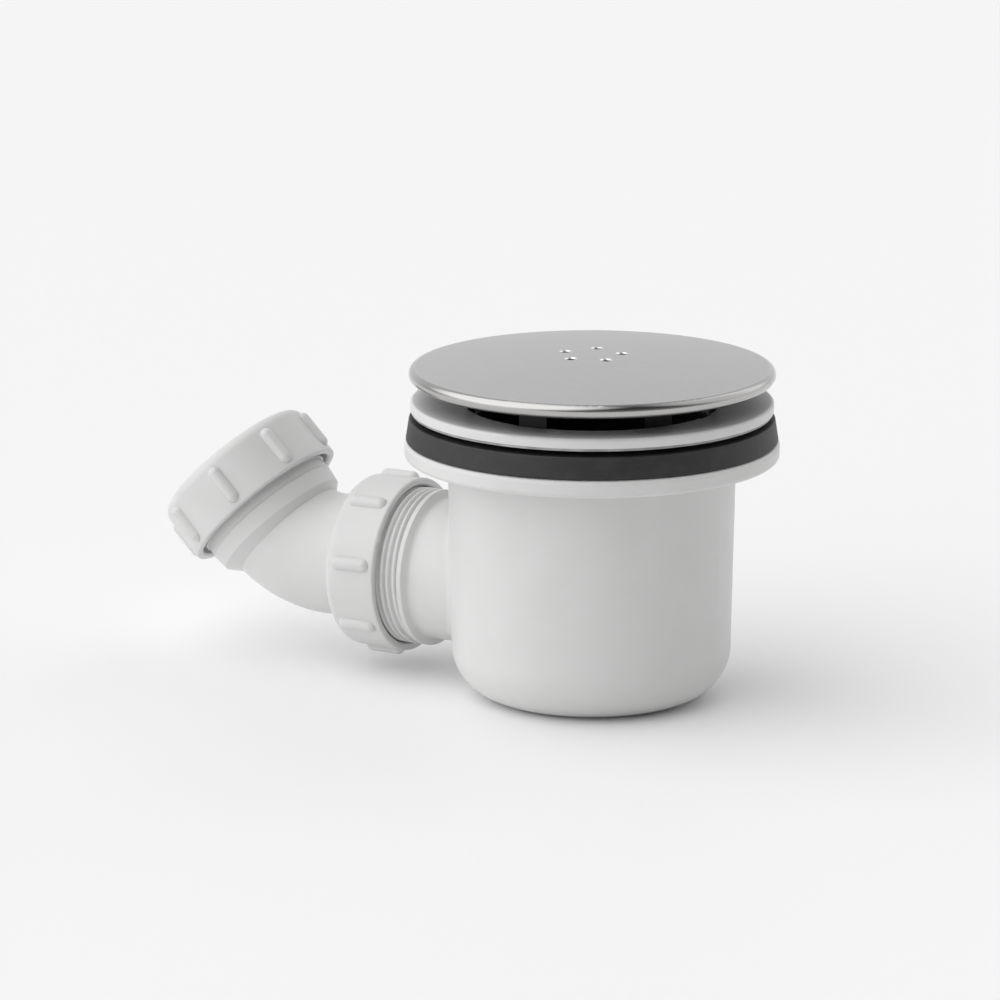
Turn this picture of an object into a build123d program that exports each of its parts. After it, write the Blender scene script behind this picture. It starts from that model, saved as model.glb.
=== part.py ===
from build123d import *
import os
from math import cos, radians, sin, tan

# Shower trap for a 90 mm waste hole, with a lift-off cap, a lift-out water seal and a turning elbow.
# Millimetres and degrees. Z is the trap's axis, up from the centre of its base.
# The outlet leaves along -X, and the elbow turns up from it.

# Trap body
body_rim_radius = 45.0
body_draft = 1.1
body_wall = 2.4
body_corner = 16.0
body_flange_radius = 58.5
body_flange_thickness = 5.6
body_flange_round = 1.5
body_flange_root = 1.0

# Water seal, stacked up from the floor of the body
cup_foot_height = 1.5
cup_foot_radius = 20.0
cup_radius = 34.0
cup_wall = 2.0
cup_corner = 9.0
dip_gap = 9.0
water_seal = 50.0
overflow_gap = 6.0

# Dip tube with its collar, lifting bar and centring fins
dip_radius = 23.0
dip_wall = 2.0
funnel_drop = 9.0
collar_height = 10.0
fin_count = 4
fin_turn = 45.0
fin_thickness = 2.0
fin_grip = 24.0
fin_slope = 8.0
bar_width = 3.0
bar_height = 6.0

# O-ring round the collar
ring_section = 2.6
ring_squeeze = 0.1
groove_slack = 0.4

# Top flange: dish, rim and threaded neck
thread_engagement = 10.9
neck_wall = 3.3
ledge_width = 3.0
ledge_thickness = 2.5
top_rim_radius = 56.6
top_rim_height = 3.0
top_rim_land = 2.0
top_rim_round = 0.9
dish_fall = 4.0
throat_round = 1.2
key_notch_count = 4
key_notch_width = 9.0
key_notch_depth = 1.6

# What lies between the body and the top flange
seal_height = 7.0
seal_bottom_inset = 0.4
seal_top_inset = 1.5
seal_round = 0.5
tray_gap = 1.7
washer_thickness = 0.8
washer_inset = 0.4

# Cap: pressed sheet with a rounded rim turned under
cap_radius = 57.1
cap_sheet = 0.9
cap_gap = 6.0
cap_rise = 6.0
cap_edge_round = 2.0
cap_hem_round = 2.4
cap_lip = 2.6
hole_count = 5
hole_radius = 1.0
hole_dimple_radius = 2.05
hole_dimple_depth = 0.8
hole_circle = 9.4
hole_turn = 37.0

# Carrier: ring that holds the cap, and a skirt with windows in the throat
carrier_plate = 1.4
carrier_overlap = 1.6
skirt_wall = 1.8
skirt_foot = 3.0
skirt_head = 1.5
window_count = 6
window_width = 30.0

# Outlet spigot
outlet_height = 33.6
outlet_wall = 2.4
spigot_reach = 73.2
spigot_root = 3.0
thread_length = 19.5
thread_ramp = 1.2
thread_blend = 1.0
thread_shoulder = 1.5
thread_rise = 1.2
thread_depth = 1.2

# Ribbed nuts, on the spigot and on the elbow
union_nut_length = 18.6
pipe_nut_length = 19.0
nut_wall = 2.6
nut_draft = 1.5
nut_end = 3.2
nut_shoulder = 3.6
nut_lead = 0.6
nut_rib_count = 8
nut_rib_round = 2.2
nut_rib_proud = 1.6
nut_rib_setback = 1.6
union_nut_turn = 10.4
pipe_nut_turn = 18.2

# Elbow and its pipe socket
elbow_radius = 19.5
elbow_wall = 2.4
elbow_flange = 3.0
elbow_leg = 30.4
elbow_bend = 45.0
elbow_bend_radius = 32.0
elbow_arm = 29.6
shoulder_edge = 10.0
shoulder_rise = 3.3
shoulder_slope = 45.0
shoulder_round = 0.6
shoulder_length = 5.3
neck_drop = 0.5
neck_step = 0.2
neck_length = 3.6
pipe_radius = 20.0
seat_depth = 3.7
seat_flare = 1.4
seat_lip = 2.15

# Rings in the joints
union_washer_thickness = 2.5
cone_flange = 3.0
cone_nose = 3.3
slip_ring_thickness = 1.3

# Clearances
thread_clearance = 0.3
slide_clearance = 0.3
pipe_clearance = 0.15
eye_clearance = 0.5
face_play = 0.2

# Heights worked out from the stack
floor_top = body_wall
cup_floor = floor_top + cup_foot_height + cup_wall
dip_end = cup_floor + dip_gap
cup_rim = dip_end + water_seal
neck_end = cup_rim + overflow_gap
body_height = neck_end + thread_engagement
flange_under = body_height - body_flange_thickness
seal_top = body_height + seal_height
washer_under = seal_top + tray_gap
rim_under = washer_under + washer_thickness
rim_top = rim_under + top_rim_height
ledge_top = neck_end + ledge_thickness
collar_top = ledge_top + collar_height

# Radii worked out from the body outwards in
foot_radius = body_rim_radius - flange_under * tan(radians(body_draft))
mouth_radius = body_rim_radius - body_wall
neck_outer = mouth_radius - thread_clearance
throat_radius = neck_outer - neck_wall
ledge_radius = throat_radius - ledge_width
collar_radius = throat_radius - slide_clearance
pilot_radius = ledge_radius - slide_clearance
funnel_radius = pilot_radius - dip_wall
socket_radius = pipe_radius + pipe_clearance
thread_root_radius = seat_flare + seat_lip + socket_radius
thread_crest_radius = thread_root_radius + thread_depth
neck_radius = thread_root_radius - neck_drop
spigot_radius = thread_root_radius - thread_rise
outlet_bore = spigot_radius - outlet_wall
elbow_bore = elbow_radius - elbow_wall
nut_bore = thread_crest_radius + thread_clearance
nut_radius = nut_bore + nut_wall
rib_centre = nut_radius + nut_rib_proud - nut_rib_round

# Places along the outlet, measured from the trap's axis
thread_start = spigot_reach - thread_length
thread_shoulder_start = thread_start + thread_ramp
washer_face = spigot_reach + union_washer_thickness
elbow_flange_back = washer_face + elbow_flange
bend_vertex = washer_face + elbow_leg
bend_tangent = elbow_bend_radius * tan(radians(elbow_bend / 2))
bend_start = bend_vertex - bend_tangent
union_nut_open = elbow_flange_back + face_play + nut_end - union_nut_length

# Places along the elbow's arm, measured from the bend's vertex
shoulder_radius = elbow_radius + shoulder_rise
shoulder_root = elbow_radius - elbow_wall / 2
shoulder_start = shoulder_edge - (shoulder_radius - shoulder_root) / tan(radians(shoulder_slope))
neck_start = shoulder_edge + shoulder_length
cone_back = elbow_arm + cone_flange
slip_back = cone_back + slip_ring_thickness
pipe_nut_open = slip_back + face_play + nut_end - pipe_nut_length

# Planes: x runs along the pipe's axis, and y is the radius
outlet_side = Plane(origin=(0, 0, outlet_height), x_dir=(-1, 0, 0), z_dir=(0, 1, 0))
outlet_axis = Axis(outlet_side.origin, outlet_side.x_dir)
arm_direction = Vector(-cos(radians(elbow_bend)), 0, sin(radians(elbow_bend)))
arm_side = Plane(origin=(-bend_vertex, 0, outlet_height), x_dir=arm_direction, z_dir=(0, 1, 0))
arm_axis = Axis(arm_side.origin, arm_direction)
bend_axis = Axis((-bend_start, 0, outlet_height + elbow_bend_radius), (0, 1, 0))


def finish(name, piece):
    """Names a finished piece and writes it."""
    piece.part.label = name
    export_step(piece.part, "parts/" + name + ".step")


os.makedirs("parts", exist_ok=True)

# Trap body: a drafted cup with a flange, and the outlet spigot blended into its side
with BuildPart() as trap_body:
    with BuildSketch(Plane.XZ):
        with BuildLine():
            FilletPolyline(
                (0, 0),
                (foot_radius, 0),
                (body_rim_radius, flange_under),
                (body_flange_radius, flange_under),
                (body_flange_radius, body_height),
                (0, body_height),
                radius=(0, body_corner, body_flange_root, body_flange_round, body_flange_round, 0),
                close=True,
            )
        make_face()
    revolve(axis=Axis.Z)
    with BuildSketch(Plane(origin=outlet_side.origin, z_dir=outlet_side.x_dir)):
        Circle(spigot_radius)
    extrude(amount=thread_start)
    spigot_edges = trap_body.edges(Select.LAST).filter_by(GeomType.LINE, reverse=True)
    fillet(spigot_edges.sort_by(Axis.X)[1:], spigot_root)
    with BuildSketch(outlet_side):
        with BuildLine():
            FilletPolyline(
                (thread_start - 2 * thread_blend, 0),
                (thread_start - 2 * thread_blend, spigot_radius),
                (thread_start, spigot_radius),
                (thread_shoulder_start, thread_crest_radius),
                (thread_shoulder_start + thread_shoulder, thread_crest_radius),
                (thread_shoulder_start + thread_shoulder, thread_root_radius),
                (spigot_reach, thread_root_radius),
                (spigot_reach, 0),
                radius=(0, 0, thread_blend, 0, 0, 0, 0, 0),
                close=True,
            )
        make_face()
    revolve(axis=outlet_axis)
    with BuildSketch(Plane.XZ):
        with BuildLine():
            FilletPolyline(
                (0, floor_top),
                (foot_radius - body_wall, floor_top),
                (mouth_radius, neck_end),
                (mouth_radius, body_height),
                (0, body_height),
                radius=(0, body_corner - body_wall, 0, 0, 0),
                close=True,
            )
        make_face()
    revolve(axis=Axis.Z, mode=Mode.SUBTRACT)
    with BuildSketch(Plane(origin=outlet_side.origin, z_dir=outlet_side.x_dir)):
        Circle(outlet_bore)
    extrude(amount=spigot_reach, mode=Mode.SUBTRACT)
finish("trap_body", trap_body)

# Tray seal: thick rubber ring, narrower at the top
with BuildPart() as tray_seal:
    with BuildSketch(Plane.XZ):
        with BuildLine():
            FilletPolyline(
                (mouth_radius, body_height),
                (body_flange_radius - seal_bottom_inset, body_height),
                (body_flange_radius - seal_top_inset, seal_top),
                (mouth_radius, seal_top),
                radius=(0, seal_round, seal_round, 0),
                close=True,
            )
        make_face()
    revolve(axis=Axis.Z)
finish("tray_seal", tray_seal)

# Flange washer: thin ring stuck under the rim of the top flange
with BuildPart() as flange_washer:
    with BuildSketch(Plane.XY.offset(washer_under)):
        Circle(top_rim_radius - washer_inset)
        Circle(mouth_radius, mode=Mode.SUBTRACT)
    extrude(amount=washer_thickness)
finish("flange_washer", flange_washer)

# Top flange: dish that falls to the throat, neck, and the ledge that carries the dip tube
with BuildPart() as top_flange:
    dish_edge = top_rim_radius - top_rim_land
    throat_top = rim_top - (dish_edge - throat_radius) * tan(radians(dish_fall))
    with BuildSketch(Plane.XZ):
        with BuildLine():
            FilletPolyline(
                (ledge_radius, neck_end),
                (neck_outer, neck_end),
                (neck_outer, rim_under),
                (top_rim_radius, rim_under),
                (top_rim_radius, rim_top),
                (dish_edge, rim_top),
                (throat_radius, throat_top),
                (throat_radius, ledge_top),
                (ledge_radius, ledge_top),
                radius=(0, 0, 0, 0, top_rim_round, 0, throat_round, 0, 0),
                close=True,
            )
        make_face()
    revolve(axis=Axis.Z)
    with BuildSketch(Plane.XY.offset(rim_under)):
        with PolarLocations(throat_radius, key_notch_count):
            Rectangle(2 * key_notch_depth, key_notch_width)
    extrude(amount=top_rim_height, mode=Mode.SUBTRACT)
finish("top_flange", top_flange)

# Water cup: stands on the floor of the body on a foot ring
with BuildPart() as water_cup:
    with BuildSketch(Plane.XZ):
        with BuildLine():
            FilletPolyline(
                (0, cup_floor - cup_wall),
                (cup_radius, cup_floor - cup_wall),
                (cup_radius, cup_rim),
                (cup_radius - cup_wall, cup_rim),
                (cup_radius - cup_wall, cup_floor),
                (0, cup_floor),
                radius=(0, cup_corner, 0, 0, cup_corner - cup_wall, 0),
                close=True,
            )
        make_face()
    revolve(axis=Axis.Z)
    with BuildSketch(Plane.XY.offset(floor_top)):
        Circle(cup_foot_radius)
        Circle(cup_foot_radius - cup_wall, mode=Mode.SUBTRACT)
    extrude(amount=cup_foot_height)
finish("water_cup", water_cup)

# Dip tube: collar on the ledge, funnel, tube, fins that centre the cup, and a bar to lift it by
ring_middle = ledge_top + collar_height / 2
ring_radius = ring_section / 2
groove_floor = throat_radius - ring_squeeze - ring_section
groove_half = ring_radius + groove_slack / 2
funnel_foot = neck_end - funnel_drop
dip_bore = dip_radius - dip_wall
fin_root = dip_radius - dip_wall / 2
fin_reach = cup_radius - cup_wall - slide_clearance
fin_top = dip_end + fin_grip
with BuildPart() as dip_tube:
    with BuildSketch(Plane.XZ):
        with BuildLine():
            Polyline(
                (dip_bore, dip_end),
                (dip_radius, dip_end),
                (dip_radius, funnel_foot),
                (pilot_radius, neck_end),
                (pilot_radius, ledge_top),
                (collar_radius, ledge_top),
                (collar_radius, ring_middle - groove_half),
                (groove_floor, ring_middle - groove_half),
                (groove_floor, ring_middle + groove_half),
                (collar_radius, ring_middle + groove_half),
                (collar_radius, collar_top),
                (funnel_radius, collar_top),
                (funnel_radius, neck_end + dip_wall),
                (dip_bore, funnel_foot + dip_wall),
                close=True,
            )
        make_face()
    revolve(axis=Axis.Z)
    for fin in range(fin_count):
        turn = radians(fin_turn + 360 / fin_count * fin)
        fin_side = Plane((0, 0, 0), x_dir=(cos(turn), sin(turn), 0), z_dir=(sin(turn), -cos(turn), 0))
        with BuildSketch(fin_side):
            with BuildLine():
                Polyline(
                    (fin_root, cup_floor),
                    (cup_radius - cup_corner, cup_floor),
                    (fin_reach, cup_floor + cup_corner),
                    (fin_reach, fin_top),
                    (fin_root, fin_top + fin_slope),
                    close=True,
                )
            make_face()
        extrude(amount=fin_thickness / 2, both=True)
    with BuildSketch(Plane.XY.offset(ledge_top)):
        Rectangle(2 * funnel_radius + dip_wall, bar_width)
    extrude(amount=bar_height)
finish("dip_tube", dip_tube)

# O-ring in the collar's groove
with BuildPart() as dip_ring:
    with BuildSketch(Plane.XZ):
        with Locations((groove_floor + ring_radius, ring_middle)):
            Circle(ring_radius)
    revolve(axis=Axis.Z)
finish("dip_ring", dip_ring)

# Cap: shallow dome that runs into a rounded rim, a lip turned under, and dimpled holes
cap_under = rim_top + cap_gap
cap_waist = cap_under + cap_hem_round
cap_apex = cap_waist + cap_rise
rim_centre = cap_radius - cap_edge_round
dome_radius = (rim_centre**2 + cap_rise**2 - cap_edge_round**2) / (2 * (cap_rise - cap_edge_round))
dome_centre = Vector(0, cap_apex - dome_radius)
dome_slope = (Vector(rim_centre, cap_waist) - dome_centre).normalized()
lip_end = cap_radius - cap_hem_round - cap_lip
hole_top = cap_apex - dome_radius + (dome_radius**2 - hole_circle**2) ** 0.5
dimple_ball = (hole_dimple_radius**2 + hole_dimple_depth**2) / (2 * hole_dimple_depth)
with BuildPart() as cap:
    with BuildSketch(Plane.XZ):
        with BuildLine():
            for depth in (0, cap_sheet):
                dome_end = dome_centre + dome_slope * (dome_radius - depth)
                dome = RadiusArc((0, cap_apex - depth), dome_end, dome_radius - depth)
                edge = TangentArc(dome @ 1, (cap_radius - depth, cap_waist), tangent=dome % 1)
                hem = TangentArc(edge @ 1, (cap_radius - cap_hem_round, cap_under + depth), tangent=(0, -1))
                Line(hem @ 1, (lip_end, cap_under + depth))
            Line((0, cap_apex), (0, cap_apex - cap_sheet))
            Line((lip_end, cap_under), (lip_end, cap_under + cap_sheet))
        make_face()
    revolve(axis=Axis.Z)
    with BuildSketch(Plane.XY.offset(cap_waist)):
        with PolarLocations(hole_circle, hole_count, start_angle=hole_turn):
            Circle(hole_radius)
    extrude(amount=cap_rise, mode=Mode.SUBTRACT)
    with Locations((0, 0, hole_top - hole_dimple_depth + dimple_ball)):
        with PolarLocations(hole_circle, hole_count, start_angle=hole_turn):
            Sphere(dimple_ball, mode=Mode.SUBTRACT)
finish("cap", cap)

# Carrier: plate on the cap's lip, and a skirt with windows that stands on the dip tube's collar
plate_under = cap_under + cap_sheet
skirt_radius = throat_radius - slide_clearance
window_low = collar_top + skirt_foot
window_depth = 2 * skirt_radius * (1 - cos(radians(180 / window_count))) + 2 * skirt_wall
with BuildPart() as cap_carrier:
    with BuildSketch(Plane.XZ):
        with BuildLine():
            Polyline(
                (skirt_radius - skirt_wall, collar_top),
                (skirt_radius, collar_top),
                (skirt_radius, plate_under),
                (lip_end + carrier_overlap, plate_under),
                (lip_end + carrier_overlap, plate_under + carrier_plate),
                (skirt_radius - skirt_wall, plate_under + carrier_plate),
                close=True,
            )
        make_face()
    revolve(axis=Axis.Z)
    with BuildSketch(Plane.XY.offset(window_low)):
        with PolarLocations(skirt_radius, window_count):
            Rectangle(window_depth, window_width)
    extrude(amount=plate_under - skirt_head - window_low, mode=Mode.SUBTRACT)
finish("cap_carrier", cap_carrier)


def ribbed_nut(nut_length, eye_radius, rib_turn):
    """A nut that stands on its open end, with its eye at the top."""
    end_radius = nut_radius - nut_length * tan(radians(nut_draft))
    rib_length = nut_length - nut_rib_setback - nut_shoulder
    with BuildPart() as rib:
        with BuildSketch(Plane.XZ):
            with BuildLine():
                foot = TangentArc((0, 0), (nut_rib_round, nut_rib_round), tangent=(1, 0))
                flank = Line(foot @ 1, (nut_rib_round, rib_length - nut_rib_round))
                head = TangentArc(flank @ 1, (0, rib_length), tangent=(0, 1))
                Line(head @ 1, foot @ 0)
            make_face()
        revolve(axis=Axis.Z)
    with BuildPart() as nut:
        with BuildSketch(Plane.XZ):
            with BuildLine():
                FilletPolyline(
                    (nut_bore + nut_lead, 0),
                    (nut_radius, 0),
                    (end_radius, nut_length),
                    (eye_radius, nut_length),
                    (eye_radius, nut_length - nut_end),
                    (nut_bore, nut_length - nut_end),
                    (nut_bore, nut_lead),
                    radius=(0, nut_lead, nut_shoulder, nut_lead, 0, 0, 0),
                    close=True,
                )
            make_face()
        revolve(axis=Axis.Z)
        with Locations((0, 0, nut_rib_setback)):
            with PolarLocations(rib_centre, nut_rib_count, start_angle=rib_turn):
                add(rib.part)
    return nut.part


# Union nut: draws the elbow's flange onto the spigot
union_seat = Plane(origin=(-union_nut_open, 0, outlet_height), x_dir=(0, 0, 1), z_dir=(-1, 0, 0))
with BuildPart() as union_nut:
    with Locations(union_seat):
        add(ribbed_nut(union_nut_length, elbow_radius + eye_clearance, union_nut_turn))
finish("union_nut", union_nut)

# Union washer: flat ring between the spigot and the elbow's flange
with BuildPart() as union_washer:
    with BuildSketch(Plane(origin=(-spigot_reach, 0, outlet_height), z_dir=(-1, 0, 0))):
        Circle(thread_root_radius)
        Circle(outlet_bore, mode=Mode.SUBTRACT)
    extrude(amount=union_washer_thickness)
finish("union_washer", union_washer)

# Elbow: a leg with the union's flange, a bend, and an arm with the shoulder and the pipe socket
with BuildPart() as elbow:
    with BuildSketch(outlet_side):
        with BuildLine():
            Polyline(
                (washer_face, elbow_bore),
                (washer_face, thread_crest_radius),
                (elbow_flange_back, thread_crest_radius),
                (elbow_flange_back, elbow_radius),
                (bend_start, elbow_radius),
                (bend_start, elbow_bore),
                close=True,
            )
        make_face()
    revolve(axis=outlet_axis)
    with BuildSketch(Plane(origin=(-bend_start, 0, outlet_height), z_dir=(-1, 0, 0))):
        Circle(elbow_radius)
        Circle(elbow_bore, mode=Mode.SUBTRACT)
    revolve(axis=bend_axis, revolution_arc=elbow_bend)
    with BuildSketch(arm_side):
        with BuildLine():
            FilletPolyline(
                (shoulder_start, shoulder_root),
                (shoulder_edge, shoulder_radius),
                (neck_start, neck_radius + neck_step),
                (neck_start, neck_radius),
                (neck_start + neck_length, neck_radius),
                (neck_start + neck_length, thread_root_radius),
                (elbow_arm, thread_root_radius),
                (elbow_arm, socket_radius + seat_flare),
                (elbow_arm - seat_depth, socket_radius),
                (bend_tangent, socket_radius),
                (bend_tangent, shoulder_root),
                radius=(0, shoulder_round, 0, 0, 0, 0, 0, 0, 0, 0, 0),
                close=True,
            )
        make_face()
    revolve(axis=arm_axis)
finish("elbow", elbow)

# Pipe nut: squeezes the cone seal round the waste pipe
pipe_open = arm_side.origin + arm_direction * pipe_nut_open
pipe_seat = Plane(origin=pipe_open, x_dir=arm_side.y_dir, z_dir=arm_direction)
with BuildPart() as pipe_nut:
    with Locations(pipe_seat):
        add(ribbed_nut(pipe_nut_length, pipe_radius + eye_clearance, pipe_nut_turn))
finish("pipe_nut", pipe_nut)

# Cone seal: nose in the socket's flared seat, flange against the socket's end
with BuildPart() as cone_seal:
    nose_end = elbow_arm - cone_nose
    nose_radius = socket_radius + seat_flare * (1 - cone_nose / seat_depth)
    with BuildSketch(arm_side):
        with BuildLine():
            Polyline(
                (nose_end, socket_radius),
                (nose_end, nose_radius),
                (elbow_arm, socket_radius + seat_flare - pipe_clearance),
                (elbow_arm, thread_root_radius),
                (cone_back, thread_root_radius),
                (cone_back, socket_radius),
                close=True,
            )
        make_face()
    revolve(axis=arm_axis)
finish("cone_seal", cone_seal)

# Slip ring: lets the nut turn on the cone seal
with BuildPart() as slip_ring:
    with BuildSketch(Plane(origin=arm_side.origin + arm_direction * cone_back, z_dir=arm_direction)):
        Circle(thread_crest_radius)
        Circle(socket_radius, mode=Mode.SUBTRACT)
    extrude(amount=slip_ring_thickness)
finish("slip_ring", slip_ring)
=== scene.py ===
from math import cos, pi, radians, sin

import bmesh
import bpy
from mathutils import Matrix, Vector


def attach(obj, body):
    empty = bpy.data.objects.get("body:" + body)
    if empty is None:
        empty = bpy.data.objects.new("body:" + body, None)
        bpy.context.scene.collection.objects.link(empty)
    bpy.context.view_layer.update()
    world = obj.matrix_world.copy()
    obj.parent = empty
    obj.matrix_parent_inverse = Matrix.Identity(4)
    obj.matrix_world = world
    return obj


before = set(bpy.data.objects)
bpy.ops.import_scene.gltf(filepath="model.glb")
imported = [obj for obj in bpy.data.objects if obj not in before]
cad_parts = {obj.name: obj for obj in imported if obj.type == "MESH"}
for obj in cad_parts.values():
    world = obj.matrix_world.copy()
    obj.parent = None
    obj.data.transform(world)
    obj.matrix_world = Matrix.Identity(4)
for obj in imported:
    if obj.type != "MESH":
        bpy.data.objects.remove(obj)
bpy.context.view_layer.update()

# Shower trap, dressed: finishes for the moulded, pressed and rubber pieces, and the screw threads
# that the solids leave plain. Metres, in the frame of the solids.
MM = 0.001

# Sizes repeated from the solids
outlet_height = 33.6 * MM
thread_root = 23.7 * MM
thread_crest = 24.9 * MM
spigot_thread_from = 56.2 * MM
spigot_thread_to = 73.0 * MM
bend_vertex = 106.1 * MM
elbow_bend = radians(45)
arm_thread_from = 19.2 * MM
arm_thread_to = 29.4 * MM
dome_edge = 55.4 * MM

# Sizes of the threads, of the cap's finish and of the painted shade round its holes
thread_pitch = 2.1 * MM
thread_sink = 0.25 * MM
polish_fade = 0.5 * MM
holes_reach = 20 * MM
holes_fade = 1 * MM

outlet_start = Vector((0, 0, outlet_height))
outlet_way = Vector((-1, 0, 0))
arm_start = Vector((-bend_vertex, 0, outlet_height))
arm_way = Vector((-cos(elbow_bend), 0, sin(elbow_bend)))


class Value:
    """A shader value: sums, differences and products of it add the Math nodes they need."""

    def __init__(self, finish, socket):
        self.finish = finish
        self.socket = socket

    def maths(self, operation, first, second):
        return self.finish.node("Math", {"operation": operation}, {0: first, 1: second})

    def __add__(self, other):
        return self.maths("ADD", self, other)

    def __radd__(self, other):
        return self.maths("ADD", other, self)

    def __sub__(self, other):
        return self.maths("SUBTRACT", self, other)

    def __rsub__(self, other):
        return self.maths("SUBTRACT", other, self)

    def __mul__(self, other):
        return self.maths("MULTIPLY", self, other)

    def __rmul__(self, other):
        return self.maths("MULTIPLY", other, self)


class Finish:
    """A material or a sky under way. node adds any node: its settings first, then its sockets."""

    def __init__(self, made, shader="Principled BSDF"):
        made.use_nodes = True
        self.made = made
        self.nodes = made.node_tree.nodes
        self.links = made.node_tree.links
        self.shader = self.nodes[shader]

    def feed(self, socket, value):
        if isinstance(value, Value):
            self.links.new(value.socket, socket)
        else:
            socket.default_value = value

    def node(self, kind, settings=None, sockets=None, out=0):
        made = self.nodes.new("ShaderNode" + kind)
        for key, value in (settings or {}).items():
            setattr(made, key, value)
        for key, value in (sockets or {}).items():
            self.feed(made.inputs[key], value)
        return Value(self, made.outputs[out])

    def place(self):
        return self.node("TexCoord", out="Object")

    def stretched(self, scale):
        return self.node("VectorMath", {"operation": "MULTIPLY"}, {0: self.place(), 1: scale})

    def grain(self, size, detail=2.0, where=None):
        where = where or self.place()
        return self.node("TexNoise", None, {"Vector": where, "Scale": 1 / size, "Detail": detail})

    def ramp(self, value, low, high):
        settings = {"interpolation_type": "SMOOTHSTEP"}
        return self.node("MapRange", settings, {"Value": value, "From Min": low, "From Max": high})

    def blend(self, share, first, second):
        sockets = {"Factor": share, 6: first, 7: second}
        return self.node("Mix", {"data_type": "RGBA"}, sockets, out=2)

    def relief(self, height, depth, soft_edge):
        edge = self.node("Bevel", {"samples": 4}, {"Radius": soft_edge})
        return self.node("Bump", None, {"Height": height, "Distance": depth, "Normal": edge})

    def set(self, **sockets):
        for key, value in sockets.items():
            self.feed(self.shader.inputs[key.replace("_", " ")], value)
        return self.made


def moulded_white(name, tone):
    """White moulded plastic: a low sheen, a fine grain from the mould and a faint unevenness."""
    finish = Finish(bpy.data.materials.new(name))
    cloud = finish.grain(14 * MM)
    grain = finish.grain(0.5 * MM, 3.0)
    pale = (tone, tone, tone * 0.995, 1)
    dull = (tone * 0.975, tone * 0.975, tone * 0.968, 1)
    return finish.set(
        Base_Color=finish.blend(finish.ramp(cloud, 0.35, 0.7), pale, dull),
        Roughness=0.33 + 0.1 * grain + 0.06 * cloud,
        Normal=finish.relief(grain + 2.0 * cloud, 0.02 * MM, 0.35 * MM),
    )


def satin_steel(name):
    """Pressed stainless: brushed satin top, polished rim and dimples; painted shade near black on the
    hole walls and round each hole's edge, and on the dull underside.
    """
    finish = Finish(bpy.data.materials.new(name))
    slope = finish.node("NewGeometry", out="Normal")
    level = finish.node("SeparateXYZ", None, {0: slope}, out="Z")
    from_axis = finish.stretched((1, 1, 0))
    radius = finish.node("VectorMath", {"operation": "LENGTH"}, {0: from_axis}, out="Value")
    rim = finish.ramp(radius, dome_edge - polish_fade, dome_edge)
    satin = (1 - rim) * finish.ramp(level, 0.93, 0.985)
    # Painted shade: faces turned downward, the cap's underside, get a near-black painted shade colour as
    # well as a rougher finish
    inside = 1 - finish.ramp(level, -0.95, -0.6)
    # Painted shade: near the holes, the hole walls and a ring round each hole's edge are painted near
    # black
    near_holes = 1 - finish.ramp(radius, holes_reach - holes_fade, holes_reach)
    hole_wall = 1 - finish.ramp(level, 0.3, 0.5)
    hole_edge = finish.ramp(level, 0.855, 0.895) * (1 - finish.ramp(level, 0.95, 0.97))
    painted_hole_shade = near_holes * (hole_wall + hole_edge)
    lines = finish.grain(0.22 * MM, 2.0, finish.stretched((0.03, 1, 1)))
    specks = finish.grain(0.35 * MM, 1.0)
    cloud = finish.grain(25 * MM)
    pale = (0.57, 0.57, 0.575, 1)
    dull = (0.515, 0.515, 0.52, 1)
    polished = (0.47, 0.465, 0.46, 1)
    bright = (0.85, 0.85, 0.85, 1)
    # Near-black colour of the painted hole shade
    dark = (0.01, 0.01, 0.01, 1)
    # Near-black painted shade colour for the cap's underside
    painted_underside_shade = (0.06, 0.06, 0.06, 1)
    brushed = finish.blend(finish.ramp(lines, 0.25, 0.75), dull, pale)
    dimpled = finish.blend(painted_hole_shade, finish.blend(satin, bright, brushed), dark)
    brushing = 0.34 + 0.08 * lines + 0.06 * cloud
    return finish.set(
        Base_Color=finish.blend(inside, finish.blend(rim, dimpled, polished), painted_underside_shade),
        Metallic=1 - 0.4 * satin,
        Roughness=0.05 + 0.06 * rim + 0.3 * inside + satin * brushing,
        Normal=finish.relief(satin * (lines + 0.5 * specks), 0.004 * MM, 0.5 * MM),
    )


def dull_rubber(name, tone):
    """Moulded rubber: dark, with faint lines round it and a dusty unevenness."""
    finish = Finish(bpy.data.materials.new(name))
    lines = finish.grain(0.5 * MM, 2.0, finish.stretched((0.02, 0.02, 1)))
    dust = finish.grain(6 * MM, 4.0)
    grain = finish.grain(0.4 * MM, 2.0)
    dark = (tone, tone, tone, 1)
    worn = (tone * 1.7, tone * 1.7, tone * 1.72, 1)
    return finish.set(
        Base_Color=finish.blend(finish.ramp(dust + 0.4 * lines, 0.55, 1.0), dark, worn),
        Roughness=0.42 + 0.16 * dust + 0.08 * grain,
        Normal=finish.relief(lines + 0.6 * grain, 0.02 * MM, 0.3 * MM),
    )


def matt_black(name):
    """Black moulded plastic of the cap's carrier and the dip tube, matt with a fine grain; the black is
    partly painted shade, darkening the gap under the cap.
    """
    finish = Finish(bpy.data.materials.new(name))
    grain = finish.grain(0.4 * MM, 2.0)
    cloud = finish.grain(9 * MM)
    return finish.set(
        Base_Color=finish.blend(cloud, (0.012, 0.012, 0.013, 1), (0.022, 0.022, 0.023, 1)),
        Roughness=0.45 + 0.15 * grain,
        Normal=finish.relief(grain, 0.02 * MM, 0.2 * MM),
    )


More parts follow.
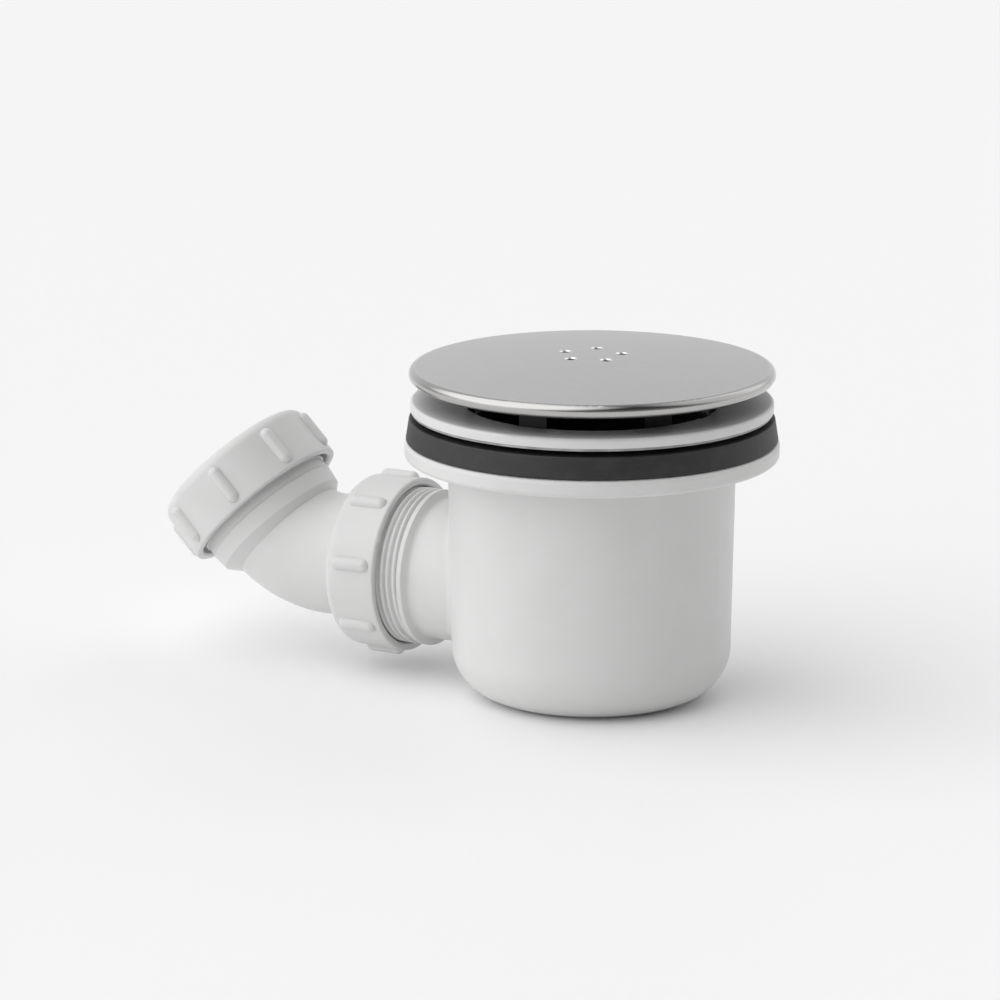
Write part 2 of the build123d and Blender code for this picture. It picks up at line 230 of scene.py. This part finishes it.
def screw_thread(name, start, way, low, high, body):
    """A right-hand screw ridge round a plain root, running in and out at its ends."""
    side = way.cross(Vector((0, 1, 0))).normalized()
    up = way.cross(side)
    steps = 72
    run_out = 0.4
    swell = 0.6
    turns = (high - low) / thread_pitch - 1
    sunk = thread_root - thread_sink
    section = (
        (-0.46, 0.0),
        (-0.30, 0.42),
        (-0.20, 0.88),
        (-0.10, 1.0),
        (0.10, 1.0),
        (0.20, 0.88),
        (0.30, 0.42),
        (0.46, 0.0),
    )
    ridge = bmesh.new()
    rings = []
    count = int(turns * steps)
    for step in range(count + 1):
        turn = step / steps
        grown = min(1, turn / run_out, (turns - turn) / run_out)
        grown = max(0, grown) ** swell
        around = 2 * pi * turn
        out = side * cos(around) + up * sin(around)
        along = low + thread_pitch * (0.5 + turn)
        ring = []
        for place, rise in section:
            radius = sunk + (thread_crest - sunk) * rise * grown
            ring.append(ridge.verts.new(start + way * (along + place * thread_pitch) + out * radius))
        rings.append(ring)
    for near, far in zip(rings, rings[1:]):
        for i in range(len(section)):
            j = (i + 1) % len(section)
            ridge.faces.new((near[i], near[j], far[j], far[i]))
    ridge.faces.new(rings[0])
    ridge.faces.new(reversed(rings[-1]))
    bmesh.ops.recalc_face_normals(ridge, faces=ridge.faces)
    mesh = bpy.data.meshes.new(name)
    ridge.to_mesh(mesh)
    ridge.free()
    mesh.shade_smooth()
    mesh.set_sharp_from_angle(angle=radians(50))
    piece = bpy.data.objects.new(name, mesh)
    bpy.context.collection.objects.link(piece)
    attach(piece, body)
    return piece


def soft_box(sky, way, edge, core):
    """Light from round one direction, full inside the core and gone past the edge."""
    sockets = {0: sky.node("TexCoord", out="Generated"), 1: way.normalized()}
    nearness = sky.node("VectorMath", {"operation": "DOT_PRODUCT"}, sockets, out="Value")
    return sky.ramp(nearness, edge, core)


# Finishes on the solids
body_white = moulded_white("body_white", 0.69)
nut_white = moulded_white("nut_white", 0.67)
flange_white = moulded_white("flange_white", 0.69)
cap_steel = satin_steel("cap_steel")
seal_rubber = dull_rubber("seal_rubber", 0.016)
washer_grey = dull_rubber("washer_grey", 0.30)
# Carrier and dip tube in black plastic, partly painted shade for the dark gap under the cap
black_plastic_and_gap_shade = matt_black("black_plastic_and_gap_shade")
finishes = {
    "cap": cap_steel,
    "cap_carrier": black_plastic_and_gap_shade,
    "top_flange": flange_white,
    "flange_washer": washer_grey,
    "tray_seal": seal_rubber,
    "trap_body": body_white,
    "dip_tube": black_plastic_and_gap_shade,
    "dip_ring": seal_rubber,
    "water_cup": body_white,
    "union_nut": nut_white,
    "union_washer": seal_rubber,
    "elbow": body_white,
    "pipe_nut": nut_white,
    "cone_seal": seal_rubber,
    "slip_ring": nut_white,
}
for node, finish in finishes.items():
    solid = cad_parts[node]
    for slot in solid.material_slots:
        slot.material = finish

# Threads that the two nuts run on
spigot_thread = screw_thread(
    "spigot_thread", outlet_start, outlet_way, spigot_thread_from, spigot_thread_to, "trap"
)
spigot_thread.data.materials.append(body_white)
arm_thread = screw_thread("arm_thread", arm_start, arm_way, arm_thread_from, arm_thread_to, "elbow")
arm_thread.data.materials.append(body_white)

# Camera at the photograph's angle
view_turn = radians(29)
view_rise = radians(13.5)
view_reach = 1.75
frame_pixels = 1000
pixel = 0.3125 * MM
axis_column = 591.7
base_row = 693
look_height = 60 * MM
right = Vector((cos(view_turn), sin(view_turn), 0))
back = Vector((sin(view_turn) * cos(view_rise), -cos(view_turn) * cos(view_rise), sin(view_rise)))
up = back.cross(right)
look_row = base_row - look_height * cos(view_rise) / pixel
middle = frame_pixels / 2
across = (axis_column - middle) * pixel
down = (look_row - middle) * pixel
target = Vector((0, 0, look_height)) - right * across + up * down
sensor_width = 36.0
eye = bpy.data.objects.new("camera", bpy.data.cameras.new("camera"))
eye.data.sensor_width = sensor_width
eye.data.sensor_fit = "HORIZONTAL"
eye.data.lens = sensor_width * view_reach / (pixel * frame_pixels)
eye.data.clip_end = 30
facing = Matrix((right, up, back)).transposed().to_4x4()
eye.matrix_world = Matrix.Translation(target + back * view_reach) @ facing
bpy.context.collection.objects.link(eye)
bpy.context.scene.camera = eye

# Pale floor
floor_mesh = bpy.data.meshes.new("floor")
floor_reach = 8.0
corners = [(x * floor_reach, y * floor_reach, 0) for x, y in ((-1, -1), (1, -1), (1, 1), (-1, 1))]
floor_mesh.from_pydata(corners, [], [(0, 1, 2, 3)])
floor = bpy.data.objects.new("floor", floor_mesh)
bpy.context.collection.objects.link(floor)
floor_finish = Finish(bpy.data.materials.new("floor_pale"))
floor_mesh.materials.append(floor_finish.set(Base_Color=(0.95, 0.95, 0.95, 1), Roughness=0.6))

# Studio sky: a wide soft box front left, a small one on the right, a broad low one behind, a dim top
studio = Finish(bpy.data.worlds.new("studio"), "Background")
toward_camera = Vector((back.x, back.y, 0)).normalized()
overhead = Vector((0, 0, 1))
front_left = soft_box(studio, toward_camera * 0.3 - right * 0.85 + overhead * 0.9, 0.5, 0.87)
far_right = soft_box(studio, right - toward_camera * 0.3 + overhead * 0.75, 0.7, 0.93)
behind = soft_box(studio, overhead * 0.2 - toward_camera, 0.25, 0.9)
high = soft_box(studio, overhead, 0.2, 0.5)
bpy.context.scene.world = studio.set(
    Color=(1, 1, 1, 1),
    Strength=0.22 - 0.15 * high + 1.65 * front_left + 0.75 * far_right + 0.6 * behind,
)

bpy.context.scene.view_settings.view_transform = "Standard"
